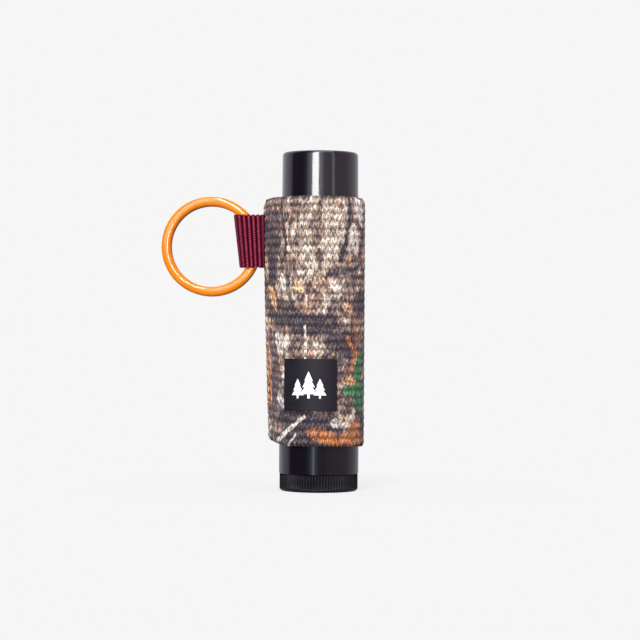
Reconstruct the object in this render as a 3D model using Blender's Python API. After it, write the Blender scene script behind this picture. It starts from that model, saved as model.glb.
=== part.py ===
"""Lip balm tube in an elastic key-ring sleeve.

Metres, +Z along the tube. The origin is the centre of the dial's underside, which the object
stands on. The key ring is towards -X and the patch faces -Y.
"""

import math

import bmesh
import bpy
from mathutils import Matrix, Vector

MM = 0.001
TURN = 2 * math.pi
GAP = 0.3 * MM
SMOOTH_ANGLE = math.radians(35)
OUTER_SEGMENTS = 40
INNER_SEGMENTS = 32
SCREW_SEGMENTS = 24

# Twist dial and its screw, one moulding
DIAL_HEIGHT = 3.5 * MM
DIAL_RADIUS = 8.1 * MM
DIAL_EDGE_RADIUS = 7.7 * MM
DIAL_EDGE_HEIGHT = 0.4 * MM
DIAL_RIBS = 80
DIAL_RIB_DEPTH = 0.25 * MM
HUB_RADIUS = 3.4 * MM
SNAP_RADIUS = 4.2 * MM
SNAP_HEIGHT = 0.9 * MM
CORE_RADIUS = 1.7 * MM
SCREW_CHAMFER = 0.3 * MM
SCREW_TOP = 58.0 * MM
THREAD_LEAD = 6.0 * MM
THREAD_RADIUS = 2.6 * MM
THREAD_BOTTOM = 9.0 * MM
THREAD_ROOT_HALF = 0.85 * MM
THREAD_CREST_HALF = 0.4 * MM
THREAD_STEPS_PER_TURN = 14

# Barrel
BARREL_BOTTOM = DIAL_HEIGHT + GAP
BARREL_RADIUS = 8.25 * MM
BARREL_FLOOR = 1.5 * MM
BORE_RADIUS = 6.2 * MM
SHOULDER = 45.0 * MM
NECK_RADIUS = 7.0 * MM
NECK_BEAD = 0.15 * MM
NECK_BEAD_Z = 49.0 * MM
BARREL_EDGE = 0.3 * MM
MOUTH = 62.0 * MM
KEY_WIDTH = 1.2 * MM
KEY_DEPTH = 0.5 * MM
KEY_TOP = 61.0 * MM

# Cap
CAP_BOTTOM = SHOULDER + GAP
CAP_TOP = 70.0 * MM
CAP_LIP_RADIUS = 8.05 * MM
CAP_TOP_RADIUS = 7.85 * MM
CAP_EDGE = 0.9 * MM
CAP_BORE = 7.45 * MM
CAP_BORE_TOP = 7.2 * MM
CAP_CEILING = 69.0 * MM

# Elevator and balm, at rest with the balm level with the mouth
ELEVATOR_BOTTOM = 48.5 * MM
ELEVATOR_RADIUS = BORE_RADIUS - GAP
ELEVATOR_PLATE = 1.2 * MM
ELEVATOR_HEIGHT = 6.0 * MM
ELEVATOR_HUB = 3.8 * MM
ELEVATOR_BORE = THREAD_RADIUS + 0.4 * MM
LUG_TIP_RADIUS = CORE_RADIUS + GAP
LUG_HALF_ANGLE = math.radians(20)
LUG_HEIGHT = 1.1 * MM
LUG_LOW = 0.2 * MM
NOTCH_WIDTH = 1.9 * MM
BALM_TOP = 61.5 * MM
BALM_CROWN = 1.2 * MM
BALM_EDGE = 1.5 * MM

# Elastic sleeve: a band round the tube, turned and sewn along a ridge at -X
SLEEVE_BOTTOM = 9.4 * MM
SLEEVE_HEIGHT = 50.8 * MM
SLEEVE_INNER = BARREL_RADIUS + GAP
SLEEVE_OUTER = 9.4 * MM
RIDGE_X = -11.56 * MM
RIDGE_RADIUS = 1.6 * MM
WEDGE_X = -9.9 * MM
WEDGE_RADIUS = 0.6 * MM
SEAM_X = -9.2 * MM
SEAM_THREAD_RADIUS = 0.18 * MM
SEAM_STITCH = 2.6 * MM
SEAM_WAVE = 0.15 * MM
SEAM_END_MARGIN = 1.5 * MM

# Patch on the front of the sleeve
PATCH_HEIGHT = 10.6 * MM
PATCH_CENTRE_Z = 22.1 * MM
PATCH_LEFT_X = -7.2 * MM
PATCH_RIGHT_X = 3.65 * MM
PATCH_THICKNESS = 0.4 * MM
PATCH_GAP = 0.2 * MM

# Webbing loop, folded round the key ring with its tails in the sleeve's seam
LOOP_BOTTOM = 46.3 * MM
LOOP_TOP = 57.0 * MM
LOOP_THICKNESS = 0.45 * MM
LOOP_FOLD_LOW_X = -16.7 * MM
LOOP_FOLD_HIGH_X = -17.94 * MM
LOOP_CHANNEL_HALF = 1.65 * MM
LOOP_CHANNEL_END_X = -12.07 * MM
LOOP_CHANNEL_END_HALF = 1.05 * MM
LOOP_SHOULDER_X = -12.3 * MM
LOOP_SHOULDER_HALF = 1.5 * MM
LOOP_NECK_X = -11.76 * MM
LOOP_NECK_HALF = 0.9 * MM
LOOP_TAIL_HALF = 0.5 * MM
LOOP_TAIL_START_X = -11.36 * MM
LOOP_TAIL_END_X = -9.72 * MM
LOOP_BEND_X = -13.0 * MM
LOOP_AXIS_X = -13.6 * MM
LOOP_FOLD_STEPS = 8

# Split key ring: two turns of flattened wire, its ends inside the loop
RING_X = -22.5 * MM
RING_Z = 50.4 * MM
RING_RADIUS = 9.33 * MM
RING_WIRE_WIDTH = 1.9 * MM
RING_WIRE_DEPTH = 1.2 * MM
RING_WIRE_CHAMFER = 0.4 * MM
RING_COIL_OFFSET = 0.75 * MM
RING_START = 25
RING_END = 711
RING_STEP = 7
RING_CROSS_START = 353
RING_CROSS_END = 383


def clear_scene():
    for obj in list(bpy.data.objects):
        bpy.data.objects.remove(obj)


def plain_material(name, colour, roughness, metallic=0.0):
    material = bpy.data.materials.new(name)
    material.use_nodes = True
    shader = material.node_tree.nodes["Principled BSDF"]
    shader.inputs["Base Color"].default_value = (*colour, 1)
    shader.inputs["Roughness"].default_value = roughness
    shader.inputs["Metallic"].default_value = metallic
    return material


def add_solid(name, mesh, material=None, location=(0, 0, 0), parent=None):
    """Link a bmesh as a smooth-shaded object, its origin at a world-space location."""
    bmesh.ops.recalc_face_normals(mesh, faces=mesh.faces)
    data = bpy.data.meshes.new(name)
    mesh.to_mesh(data)
    mesh.free()
    data.transform(Matrix.Translation(-Vector(location)))
    data.shade_smooth()
    data.set_sharp_from_angle(angle=SMOOTH_ANGLE)
    solid = bpy.data.objects.new(name, data)
    bpy.context.collection.objects.link(solid)
    if material:
        data.materials.append(material)
    offset = Vector(location)
    if parent:
        solid.parent = parent
        offset -= parent.location
    solid.location = offset
    return solid


def add_axis(name, location):
    """Empty on a joint's axis, to parent the moving pieces to."""
    axis = bpy.data.objects.new(name, None)
    axis.location = location
    bpy.context.collection.objects.link(axis)
    return axis


def boolean(solid, helper, operation):
    """Join or cut a solid with a hidden helper."""
    helper.hide_render = True
    helper.display_type = "WIRE"
    modifier = solid.modifiers.new(f"{operation.lower()} {helper.name}", "BOOLEAN")
    modifier.operation = operation
    modifier.object = helper


def circle(count):
    """Unit vectors evenly round the Z axis."""
    angles = [TURN * i / count for i in range(count)]
    return [(math.cos(a), math.sin(a)) for a in angles]


def arc(centre, radius, start, end, steps):
    """Points along an arc, its angles in degrees."""
    angles = [math.radians(start + (end - start) * i / steps) for i in range(steps + 1)]
    return [(centre[0] + radius * math.cos(a), centre[1] + radius * math.sin(a)) for a in angles]


def join_rings(mesh, low, high):
    """Quads, or triangles where a ring is a single point, between two rings of vertices."""
    count = max(len(low), len(high))
    for i in range(count):
        j = (i + 1) % count
        corners = [low[i % len(low)], low[j % len(low)], high[j % len(high)], high[i % len(high)]]
        mesh.faces.new(dict.fromkeys(corners))


def turned(profile, segments, closed=False):
    """Solid of revolution about Z. An open profile starts and ends on the axis."""
    mesh = bmesh.new()
    rings = []
    for radius, z in profile:
        spokes = circle(segments) if radius > 0 else [(0, 0)]
        rings.append([mesh.verts.new((radius * x, radius * y, z)) for x, y in spokes])
    pairs = zip(rings, rings[1:] + rings[:1]) if closed else zip(rings, rings[1:])
    for low, high in pairs:
        join_rings(mesh, low, high)
    return mesh


def extruded(outline, bottom, top):
    """Prism on a plan outline."""
    mesh = bmesh.new()
    low = [mesh.verts.new((x, y, bottom)) for x, y in outline]
    high = [mesh.verts.new((x, y, top)) for x, y in outline]
    join_rings(mesh, low, high)
    mesh.faces.new(low)
    mesh.faces.new(high)
    return mesh


def lofted_band(outer_low, inner_low, outer_high, inner_high, bottom, top):
    """Closed wall between an outer and an inner outline, each given at both ends."""
    mesh = bmesh.new()
    levels = [(outer_low, bottom), (outer_high, top), (inner_high, top), (inner_low, bottom)]
    rings = [[mesh.verts.new((x, y, z)) for x, y in outline] for outline, z in levels]
    for first, second in zip(rings, rings[1:] + rings[:1]):
        join_rings(mesh, first, second)
    return mesh


def box(low, high):
    return extruded(
        [(low[0], low[1]), (high[0], low[1]), (high[0], high[1]), (low[0], high[1])], low[2], high[2]
    )


def swept(section, frames):
    """Closed solid from a section carried along frames of (centre, section's U, section's V)."""
    mesh = bmesh.new()
    rings = []
    for centre, first, second in frames:
        rings.append([mesh.verts.new(centre + first * u + second * v) for u, v in section])
    for low, high in zip(rings, rings[1:]):
        join_rings(mesh, low, high)
    mesh.faces.new(rings[0])
    mesh.faces.new(rings[-1])
    return mesh


def thread_mesh():
    """Right-hand ridge that winds up the screw, rooted inside its core."""
    root = CORE_RADIUS - GAP
    section = [
        (root, -THREAD_ROOT_HALF),
        (THREAD_RADIUS, -THREAD_CREST_HALF),
        (THREAD_RADIUS, THREAD_CREST_HALF),
        (root, THREAD_ROOT_HALF),
    ]
    height = SCREW_TOP - THREAD_BOTTOM - 2 * THREAD_ROOT_HALF
    steps = round(height / THREAD_LEAD * THREAD_STEPS_PER_TURN)
    frames = []
    for i in range(steps + 1):
        rise = height * i / steps
        angle = thread_angle(THREAD_BOTTOM + THREAD_ROOT_HALF + rise)
        centre = Vector((0, 0, THREAD_BOTTOM + THREAD_ROOT_HALF + rise))
        frames.append((centre, Vector((math.cos(angle), math.sin(angle), 0)), Vector((0, 0, 1))))
    return swept(section, frames)


def thread_angle(z):
    """Direction of the thread's ridge at a height. The elevator's first lug, at angle 0, is
    half a lead away from the ridge at rest."""
    lug_middle = ELEVATOR_BOTTOM + LUG_LOW + LUG_HEIGHT / 2
    return TURN * ((z - lug_middle) / THREAD_LEAD + 0.5)


def ribbed_wheel():
    """Dial wheel: smooth lower edge, then fine ribs up to its top."""
    mesh = bmesh.new()
    levels = [
        (DIAL_EDGE_RADIUS, 0, 0),
        (DIAL_RADIUS, 0, DIAL_EDGE_HEIGHT),
        (DIAL_RADIUS, DIAL_RIB_DEPTH, DIAL_EDGE_HEIGHT + DIAL_RIB_DEPTH),
        (DIAL_RADIUS, DIAL_RIB_DEPTH, DIAL_HEIGHT),
    ]
    rings = []
    for radius, depth, z in levels:
        ring = []
        for i, (x, y) in enumerate(circle(2 * DIAL_RIBS)):
            reach = radius - depth * (i % 2)
            ring.append(mesh.verts.new((reach * x, reach * y, z)))
        rings.append(ring)
    for low, high in zip(rings, rings[1:]):
        join_rings(mesh, low, high)
    mesh.faces.new(rings[0])
    mesh.faces.new(rings[-1])
    return mesh


def screw_mesh():
    """Hub that snaps through the barrel's floor, and the plain core of the screw."""
    sunk = DIAL_HEIGHT / 2
    snap_bottom = BARREL_BOTTOM + BARREL_FLOOR + GAP
    return turned(
        [
            (0, sunk),
            (HUB_RADIUS, sunk),
            (HUB_RADIUS, snap_bottom),
            (SNAP_RADIUS, snap_bottom),
            (SNAP_RADIUS - 2 * SCREW_CHAMFER, snap_bottom + SNAP_HEIGHT),
            (CORE_RADIUS, snap_bottom + SNAP_HEIGHT),
            (CORE_RADIUS, SCREW_TOP - SCREW_CHAMFER),
            (CORE_RADIUS - SCREW_CHAMFER, SCREW_TOP),
            (0, SCREW_TOP),
        ],
        SCREW_SEGMENTS,
    )


def make_dial(material):
    dial = add_solid("dial_and_screw", ribbed_wheel(), material)
    boolean(dial, add_solid("helper_screw", screw_mesh()), "UNION")
    boolean(dial, add_solid("helper_thread", thread_mesh()), "UNION")


def make_barrel(material):
    floor_top = BARREL_BOTTOM + BARREL_FLOOR
    profile = [
        (BARREL_RADIUS, BARREL_BOTTOM),
        (BARREL_RADIUS, SHOULDER - BARREL_EDGE),
        (BARREL_RADIUS - BARREL_EDGE, SHOULDER),
        (NECK_RADIUS, SHOULDER),
        (NECK_RADIUS, NECK_BEAD_Z - BARREL_EDGE),
        (NECK_RADIUS + NECK_BEAD, NECK_BEAD_Z),
        (NECK_RADIUS, NECK_BEAD_Z + BARREL_EDGE),
        (NECK_RADIUS, MOUTH - BARREL_EDGE),
        (NECK_RADIUS - BARREL_EDGE, MOUTH),
        (BORE_RADIUS, MOUTH),
        (BORE_RADIUS, floor_top),
        (HUB_RADIUS + GAP, floor_top),
        (HUB_RADIUS + GAP, BARREL_BOTTOM),
    ]
    barrel = add_solid("barrel", turned(profile, OUTER_SEGMENTS, closed=True), material)
    key_bottom = floor_top - BARREL_FLOOR / 2
    for side, name in ((1, "right"), (-1, "left")):
        inner = side * (BORE_RADIUS - KEY_DEPTH)
        outer = side * (BORE_RADIUS + KEY_DEPTH)
        low = (min(inner, outer), -KEY_WIDTH / 2, key_bottom)
        high = (max(inner, outer), KEY_WIDTH / 2, KEY_TOP)
        boolean(barrel, add_solid(f"helper_key_{name}", box(low, high)), "UNION")


def make_cap(material):
    round_edge = arc((CAP_TOP_RADIUS - CAP_EDGE, CAP_TOP - CAP_EDGE), CAP_EDGE, 90, 0, 4)
    profile = [
        (0, CAP_TOP),
        *round_edge,
        (CAP_LIP_RADIUS, CAP_BOTTOM),
        (CAP_BORE, CAP_BOTTOM),
        (CAP_BORE_TOP, CAP_CEILING - CAP_EDGE / 2),
        (CAP_BORE_TOP - CAP_EDGE / 2, CAP_CEILING),
        (0, CAP_CEILING),
    ]
    add_solid("cap", turned(profile, OUTER_SEGMENTS), material, (0, 0, CAP_BOTTOM))


def cut_key_notches(solid, bottom, top):
    """Grooves that slide on the barrel's two keys, so the solid rises without turning."""
    for side, name in ((1, "right"), (-1, "left")):
        inner = side * (BORE_RADIUS - KEY_DEPTH - GAP)
        outer = side * (BORE_RADIUS + GAP)
        low = (min(inner, outer), -NOTCH_WIDTH / 2, bottom - GAP)
        high = (max(inner, outer), NOTCH_WIDTH / 2, top + GAP)
        helper = add_solid(f"helper_notch_{solid.name}_{name}", box(low, high))
        boolean(solid, helper, "DIFFERENCE")


def add_lugs(elevator):
    """Two inward teeth half a turn and half a lead apart, riding between the thread's turns."""
    reach = ELEVATOR_BORE + GAP
    for index in range(2):
        middle = 180 * index
        half = math.degrees(LUG_HALF_ANGLE)
        outline = arc((0, 0), reach, middle - half, middle + half, 3)
        outline += arc((0, 0), LUG_TIP_RADIUS, middle + half, middle - half, 3)
        low = ELEVATOR_BOTTOM + LUG_LOW + index * THREAD_LEAD / 2
        helper = add_solid(f"helper_lug_{index + 1}", extruded(outline, low, low + LUG_HEIGHT))
        boolean(elevator, helper, "UNION")


def make_elevator(material, parent):
    plate_top = ELEVATOR_BOTTOM + ELEVATOR_PLATE
    top = ELEVATOR_BOTTOM + ELEVATOR_HEIGHT
    profile = [
        (ELEVATOR_RADIUS, ELEVATOR_BOTTOM),
        (ELEVATOR_RADIUS, plate_top),
        (ELEVATOR_HUB, plate_top),
        (ELEVATOR_HUB, top),
        (ELEVATOR_BORE, top),
        (ELEVATOR_BORE, ELEVATOR_BOTTOM),
    ]
    location = (0, 0, ELEVATOR_BOTTOM)
    mesh = turned(profile, INNER_SEGMENTS, closed=True)
    elevator = add_solid("elevator", mesh, material, location, parent)
    cut_key_notches(elevator, ELEVATOR_BOTTOM, plate_top)
    add_lugs(elevator)


def make_balm(material, parent):
    bottom = ELEVATOR_BOTTOM + ELEVATOR_PLATE + GAP
    step = ELEVATOR_BOTTOM + ELEVATOR_HEIGHT + GAP
    profile = [
        (ELEVATOR_RADIUS, bottom),
        (ELEVATOR_RADIUS, BALM_TOP - BALM_CROWN),
        (ELEVATOR_RADIUS - BALM_EDGE / 2, BALM_TOP - BALM_CROWN / 3),
        (ELEVATOR_RADIUS - BALM_EDGE, BALM_TOP),
        (ELEVATOR_BORE, BALM_TOP),
        (ELEVATOR_BORE, step),
        (ELEVATOR_HUB + GAP, step),
        (ELEVATOR_HUB + GAP, bottom),
    ]
    mesh = turned(profile, INNER_SEGMENTS, closed=True)
    balm = add_solid("balm_stick", mesh, material, (0, 0, bottom), parent)
    cut_key_notches(balm, bottom, BALM_TOP)


def teardrop(radius, apex_x, nose_radius, big_steps, nose_steps):
    """Outline of a circle about the tube's axis, drawn out to a rounded nose at -X."""
    nose_x = apex_x + nose_radius
    lean = math.degrees(math.acos((radius - nose_radius) / -nose_x))
    big = arc((0, 0), radius, -180 + lean, 180 - lean, big_steps)
    nose = arc((nose_x, 0), nose_radius, 180 - lean, 180 + lean, nose_steps)
    return big + nose


def make_sleeve(material, axis):
    outer = teardrop(SLEEVE_OUTER, RIDGE_X, RIDGE_RADIUS, 32, 7)
    inner = teardrop(SLEEVE_INNER, WEDGE_X, WEDGE_RADIUS, 32, 7)
    top = SLEEVE_BOTTOM + SLEEVE_HEIGHT
    mesh = lofted_band(outer, inner, outer, inner, SLEEVE_BOTTOM, top)
    sleeve = add_solid("elastic_sleeve", mesh, material, axis.location, axis)
    slot_half = LOOP_TAIL_HALF + GAP
    low = (RIDGE_X - GAP, -slot_half, LOOP_BOTTOM - GAP)
    high = (WEDGE_X + WEDGE_RADIUS, slot_half, LOOP_TOP + GAP)
    boolean(sleeve, add_solid("helper_loop_slot", box(low, high)), "DIFFERENCE")


def make_seam_thread(material, parent):
    """Lock-stitch thread that closes the turned seam, inside the ridge."""
    length = SLEEVE_HEIGHT - 2 * SEAM_END_MARGIN
    halves = 2 * round(length / SEAM_STITCH)
    section = [(SEAM_THREAD_RADIUS * x, SEAM_THREAD_RADIUS * y) for x, y in circle(6)]
    frames = []
    for i in range(halves + 1):
        z = SLEEVE_BOTTOM + SEAM_END_MARGIN + length * i / halves
        side = SEAM_WAVE if i % 2 else -SEAM_WAVE
        frames.append((Vector((SEAM_X, side, z)), Vector((1, 0, 0)), Vector((0, 1, 0))))
    mesh = swept(section, frames)
    add_solid("seam_thread", mesh, material, parent.location, parent)


def make_patch(material, parent):
    """Curved label that lies on the round front of the sleeve."""
    inner = SLEEVE_OUTER + PATCH_GAP
    outer = inner + PATCH_THICKNESS
    start = -90 + math.degrees(math.asin(PATCH_LEFT_X / outer))
    end = -90 + math.degrees(math.asin(PATCH_RIGHT_X / outer))
    outline = arc((0, 0), outer, start, end, 8) + arc((0, 0), inner, end, start, 8)
    bottom = PATCH_CENTRE_Z - PATCH_HEIGHT / 2
    mesh = extruded(outline, bottom, bottom + PATCH_HEIGHT)
    add_solid("patch", mesh, material, parent.location, parent)


def mirrored(points):
    """The same points across the X axis, in reverse, to close an outline."""
    return [(x, -y) for x, y in reversed(points)]


def loop_outer(fold_x):
    """Half-round fold at -X, straight sides, then in to the two tails laid together."""
    half = LOOP_CHANNEL_HALF + LOOP_THICKNESS
    side = [
        (LOOP_BEND_X, -half),
        (LOOP_SHOULDER_X + LOOP_THICKNESS / 2, -LOOP_SHOULDER_HALF - LOOP_THICKNESS),
        (LOOP_NECK_X, -LOOP_NECK_HALF),
        (LOOP_TAIL_START_X, -LOOP_TAIL_HALF),
        (LOOP_TAIL_END_X, -LOOP_TAIL_HALF),
    ]
    return arc((fold_x + half, 0), half, 90, 270, LOOP_FOLD_STEPS) + side + mirrored(side)


def loop_channel(fold_x):
    """Room for the ring's wire, half-round at the fold and drawn in at the seam."""
    half = LOOP_CHANNEL_HALF
    side = [
        (LOOP_BEND_X - LOOP_THICKNESS, -half),
        (LOOP_BEND_X, -half),
        (LOOP_SHOULDER_X, -LOOP_SHOULDER_HALF),
        (LOOP_CHANNEL_END_X - LOOP_THICKNESS / 4, -LOOP_CHANNEL_END_HALF),
        (LOOP_CHANNEL_END_X, -LOOP_TAIL_HALF),
    ]
    centre = (fold_x + LOOP_THICKNESS + half, 0)
    return arc(centre, half, 90, 270, LOOP_FOLD_STEPS) + side + mirrored(side)


def make_loop(material, axis):
    mesh = lofted_band(
        loop_outer(LOOP_FOLD_LOW_X),
        loop_channel(LOOP_FOLD_LOW_X),
        loop_outer(LOOP_FOLD_HIGH_X),
        loop_channel(LOOP_FOLD_HIGH_X),
        LOOP_BOTTOM,
        LOOP_TOP,
    )
    add_solid("ring_loop", mesh, material, axis.location, axis)


def ring_section():
    """Flattened wire: a rectangle with its corners taken off."""
    wide = RING_WIRE_WIDTH / 2
    deep = RING_WIRE_DEPTH / 2
    cut = RING_WIRE_CHAMFER
    quarter = [(wide, deep - cut), (wide - cut, deep)]
    half = quarter + [(-x, y) for x, y in reversed(quarter)]
    return half + [(-x, -y) for x, y in half]


def coil_depth(angle):
    """Front coil before the crossing, back coil after it, and a smooth ramp between."""
    share = (angle - RING_CROSS_START) / (RING_CROSS_END - RING_CROSS_START)
    share = min(1, max(0, share))
    return RING_COIL_OFFSET * (2 * share * share * (3 - 2 * share) - 1)


def make_ring(material, parent):
    centre = Vector((RING_X, 0, RING_Z))
    steps = round((RING_END - RING_START) / RING_STEP)
    frames = []
    for i in range(steps + 1):
        angle = RING_START + (RING_END - RING_START) * i / steps
        turn = math.radians(angle)
        out = Vector((math.cos(turn), 0, math.sin(turn)))
        place = centre + out * RING_RADIUS + Vector((0, coil_depth(angle), 0))
        frames.append((place, out, Vector((0, 1, 0))))
    add_solid("key_ring", swept(ring_section(), frames), material, centre, parent)


def main():
    clear_scene()
    gloss_black = plain_material("gloss_black", (0.02, 0.018, 0.022), 0.12)
    matte_black = plain_material("matte_black", (0.015, 0.013, 0.015), 0.5)
    natural_plastic = plain_material("natural_plastic", (0.8, 0.8, 0.78), 0.4)
    wax = plain_material("wax", (0.9, 0.83, 0.66), 0.45)
    elastic = plain_material("camo_elastic", (0.3, 0.24, 0.2), 0.85)
    burgundy = plain_material("burgundy_webbing", (0.2, 0.01, 0.035), 0.8)
    thread = plain_material("thread", (0.6, 0.57, 0.53), 0.8)
    satin_black = plain_material("satin_black", (0.02, 0.018, 0.02), 0.6)
    orange_paint = plain_material("orange_paint", (1.0, 0.26, 0.01), 0.15)

    make_dial(matte_black)
    make_barrel(gloss_black)
    make_cap(gloss_black)
    elevator_axis = add_axis("elevator_slide", (0, 0, ELEVATOR_BOTTOM))
    make_elevator(natural_plastic, elevator_axis)
    make_balm(wax, elevator_axis)

    sleeve_axis = add_axis("sleeve_slide", (0, 0, SLEEVE_BOTTOM))
    make_sleeve(elastic, sleeve_axis)
    make_seam_thread(thread, sleeve_axis)
    make_patch(satin_black, sleeve_axis)
    loop_axis = add_axis("loop_swing", (LOOP_AXIS_X, 0, (LOOP_BOTTOM + LOOP_TOP) / 2))
    make_loop(burgundy, loop_axis)
    make_ring(orange_paint, loop_axis)


main()
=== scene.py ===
"""Looks of a lip balm tube in an elastic key-ring sleeve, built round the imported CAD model.

The constants and the mesh code are in millimetres, and add_piece turns them into metres.
+Z is up the tube, the key ring is towards -X and the patch towards -Y.
"""

import math

import bmesh
import bpy
import numpy as np
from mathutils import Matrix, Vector


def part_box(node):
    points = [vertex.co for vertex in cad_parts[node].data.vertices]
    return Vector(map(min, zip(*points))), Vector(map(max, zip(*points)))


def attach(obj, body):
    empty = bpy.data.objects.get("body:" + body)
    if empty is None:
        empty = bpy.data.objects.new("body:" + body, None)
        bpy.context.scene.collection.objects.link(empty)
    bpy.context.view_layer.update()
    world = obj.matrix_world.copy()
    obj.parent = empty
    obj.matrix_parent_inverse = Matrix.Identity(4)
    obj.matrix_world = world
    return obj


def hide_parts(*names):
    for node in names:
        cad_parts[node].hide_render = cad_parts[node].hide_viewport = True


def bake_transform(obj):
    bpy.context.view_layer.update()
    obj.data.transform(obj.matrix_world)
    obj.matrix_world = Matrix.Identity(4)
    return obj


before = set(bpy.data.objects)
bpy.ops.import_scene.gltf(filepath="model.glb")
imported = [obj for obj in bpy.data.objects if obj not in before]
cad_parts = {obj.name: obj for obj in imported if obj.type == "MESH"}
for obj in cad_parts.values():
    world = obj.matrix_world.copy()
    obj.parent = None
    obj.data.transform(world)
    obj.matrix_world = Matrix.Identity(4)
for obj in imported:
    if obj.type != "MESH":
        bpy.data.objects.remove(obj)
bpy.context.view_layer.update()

MM = 0.001
TURN = 2 * math.pi
SMOOTH_ANGLE = math.radians(38)


def box_mm(node):
    """Lowest and highest corner of a CAD node, in millimetres."""
    low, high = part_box(node)
    return np.array(low) / MM, np.array(high) / MM


CAP_LOW, CAP_HIGH = box_mm("cap")
BARREL_LOW, BARREL_HIGH = box_mm("barrel")
SCREW_TOP = box_mm("dial_and_screw")[1][2]
BALM_LOW, BALM_HIGH = box_mm("balm_stick")
SLEEVE_LOW, SLEEVE_HIGH = box_mm("elastic_sleeve")
PATCH_LOW, PATCH_HIGH = box_mm("patch")
LOOP_LOW, LOOP_HIGH = box_mm("ring_loop")
RING_LOW, RING_HIGH = box_mm("key_ring")
SEAM_LOW, SEAM_HIGH = box_mm("seam_thread")

# Cap
CAP_RADIUS = CAP_HIGH[0]
CAP_TOP_RADIUS = CAP_RADIUS - 0.2
CAP_EDGE = 0.75
CAP_BORE = CAP_RADIUS - 0.6
CAP_WALL_TOP = 1.0
CAP_SNAP_HEIGHT = 4.0

# Barrel
BARREL_RADIUS = BARREL_HIGH[0]
BARREL_FLOOR = BARREL_LOW[2] + 1.5
BORE_RADIUS = 6.2
SHOULDER = CAP_LOW[2] - 0.3
NECK_RADIUS = 7.0
NECK_BEAD = 0.15
NECK_BEAD_Z = SHOULDER + 4.0
HUB_HOLE = 3.7
KEY_HALF = 0.6
KEY_DEPTH = 0.5
KEY_TOP = BARREL_HIGH[2] - 1.0
MOULD_LINE_ANGLE = math.radians(211)
MOULD_LINE_HEIGHT = 0.03

# Dial and screw
DIAL_RADIUS = 8.1
DIAL_HEIGHT = 3.5
DIAL_FOOT_RADIUS = 7.7
DIAL_RIBS = 80
RIB_DEPTH = 0.25
RIB_LOW = 0.55
COLUMNS_PER_RIB = 6
HUB_RADIUS = 3.4
SNAP_RADIUS = 4.2
SNAP_LOW = BARREL_FLOOR + 0.3
SNAP_HIGH = SNAP_LOW + 0.9
CORE_RADIUS = 1.7
THREAD_RADIUS = 2.6
THREAD_LEAD = 6.0
THREAD_LOW = 9.0
THREAD_START_Z = 49.25 - THREAD_LEAD / 2
THREAD_ROOT_HALF = 0.85
THREAD_CREST_HALF = 0.4

# Balm
BALM_RADIUS = 5.9
BALM_BORE = 3.0
BALM_HUB = 4.1
BALM_STEP = BALM_LOW[2] + 4.8
NOTCH_HALF = 0.95
NOTCH_RADIUS = 5.4

# Elastic sleeve
SLEEVE_LENGTH = 61.2
SLEEVE_RADIUS = 9.22
RIDGE_X = SLEEVE_LOW[0] - 0.15
RIDGE_RADIUS = 1.5
RIDGE_LEAN = 1.4
SLEEVE_BORE = 8.55
WEDGE_X = -9.9
WEDGE_RADIUS = 0.6
STITCH_PITCH = 0.912
STITCH_COLUMNS = 6
ROW_COUNT = 31
ROW_SAMPLES = 7
STITCH_RISE = 0.62
WEAVE_RELIEF = 0.15
SEAM_NOTCH = 0.9
CORNER_RISE = 0.9
CORNER_DROP = 1.05
CORNER_WIDE = 1.5

# Seam thread
SEAM_TWIST_PITCH = 0.7
SEAM_TWIST_RADIUS = 0.08
SEAM_SWAY_PITCH = 2.6

# Patch: the width of its slices, and each printed tree's sideways place, height and width
SLICE = 0.35
TREES = [(-2.35, 4.0, 2.7), (0.0, 5.5, 3.5), (2.35, 4.0, 2.7)]

# Ring loop
LOOP_THICKNESS = 0.42
LOOP_FOLD_LOW_X = -16.7
LOOP_FOLD_HIGH_X = LOOP_LOW[0]
LOOP_HALF = LOOP_HIGH[1] - LOOP_THICKNESS / 2 - 0.12
LOOP_BEND_X = -12.9
LOOP_NECK_X = -11.5
LOOP_TAIL_END_X = -10.3
SCALLOP = 0.3
RIB_PITCH = 0.9
STATIONS_PER_RIB = 8
YARN_PITCH = 0.5
ROWS_PER_YARN = 4
RIB_RELIEF = 0.24
YARN_RELIEF = 0.06

# Key ring
RING_CENTRE = ((RING_LOW[0] + RING_HIGH[0]) / 2, 0.0, (RING_LOW[2] + RING_HIGH[2]) / 2)
RING_RADIUS = 9.33
WIRE_WIDE = 0.98
WIRE_DEEP = 0.66
COIL_SLIP = 0.14
COIL_SLIP_ANGLE = -25
COIL_OFFSET = 0.69
RING_START = 25
RING_END = 711
CROSS_START = 353
CROSS_END = 383
RING_STEPS = 900
RING_SIDES = 40
WIRE_SQUARENESS = 0.78

# Camera and stage
VIEW_WIDTH = 132.78
CAMERA_PLACE = (0.1, -460.0, 35.3)
CAMERA_ROLL = -0.34
SENSOR = 36.0
BACKGROUND = 0.92


# ---- small mathematics

def unit(vector):
    return vector / np.linalg.norm(vector)


def smooth(value, low, high):
    """0 below low, 1 above high, and a smooth ramp between. Low may be the greater one."""
    t = np.clip((value - low) / (high - low), 0, 1)
    return t * t * (3 - 2 * t)


def mix(first, second, share):
    """Colours or numbers mixed by a share that may be an array."""
    share = np.asarray(share)
    if np.ndim(first) > share.ndim or np.ndim(second) > share.ndim:
        share = share[..., None]
    return first * (1 - share) + second * share


def linear(red, green, blue):
    """Linear colour from the 0 to 255 values of a screen."""
    value = np.array((red, green, blue)) / 255
    return np.where(value <= 0.04045, value / 12.92, ((value + 0.055) / 1.055) ** 2.4)


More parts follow.
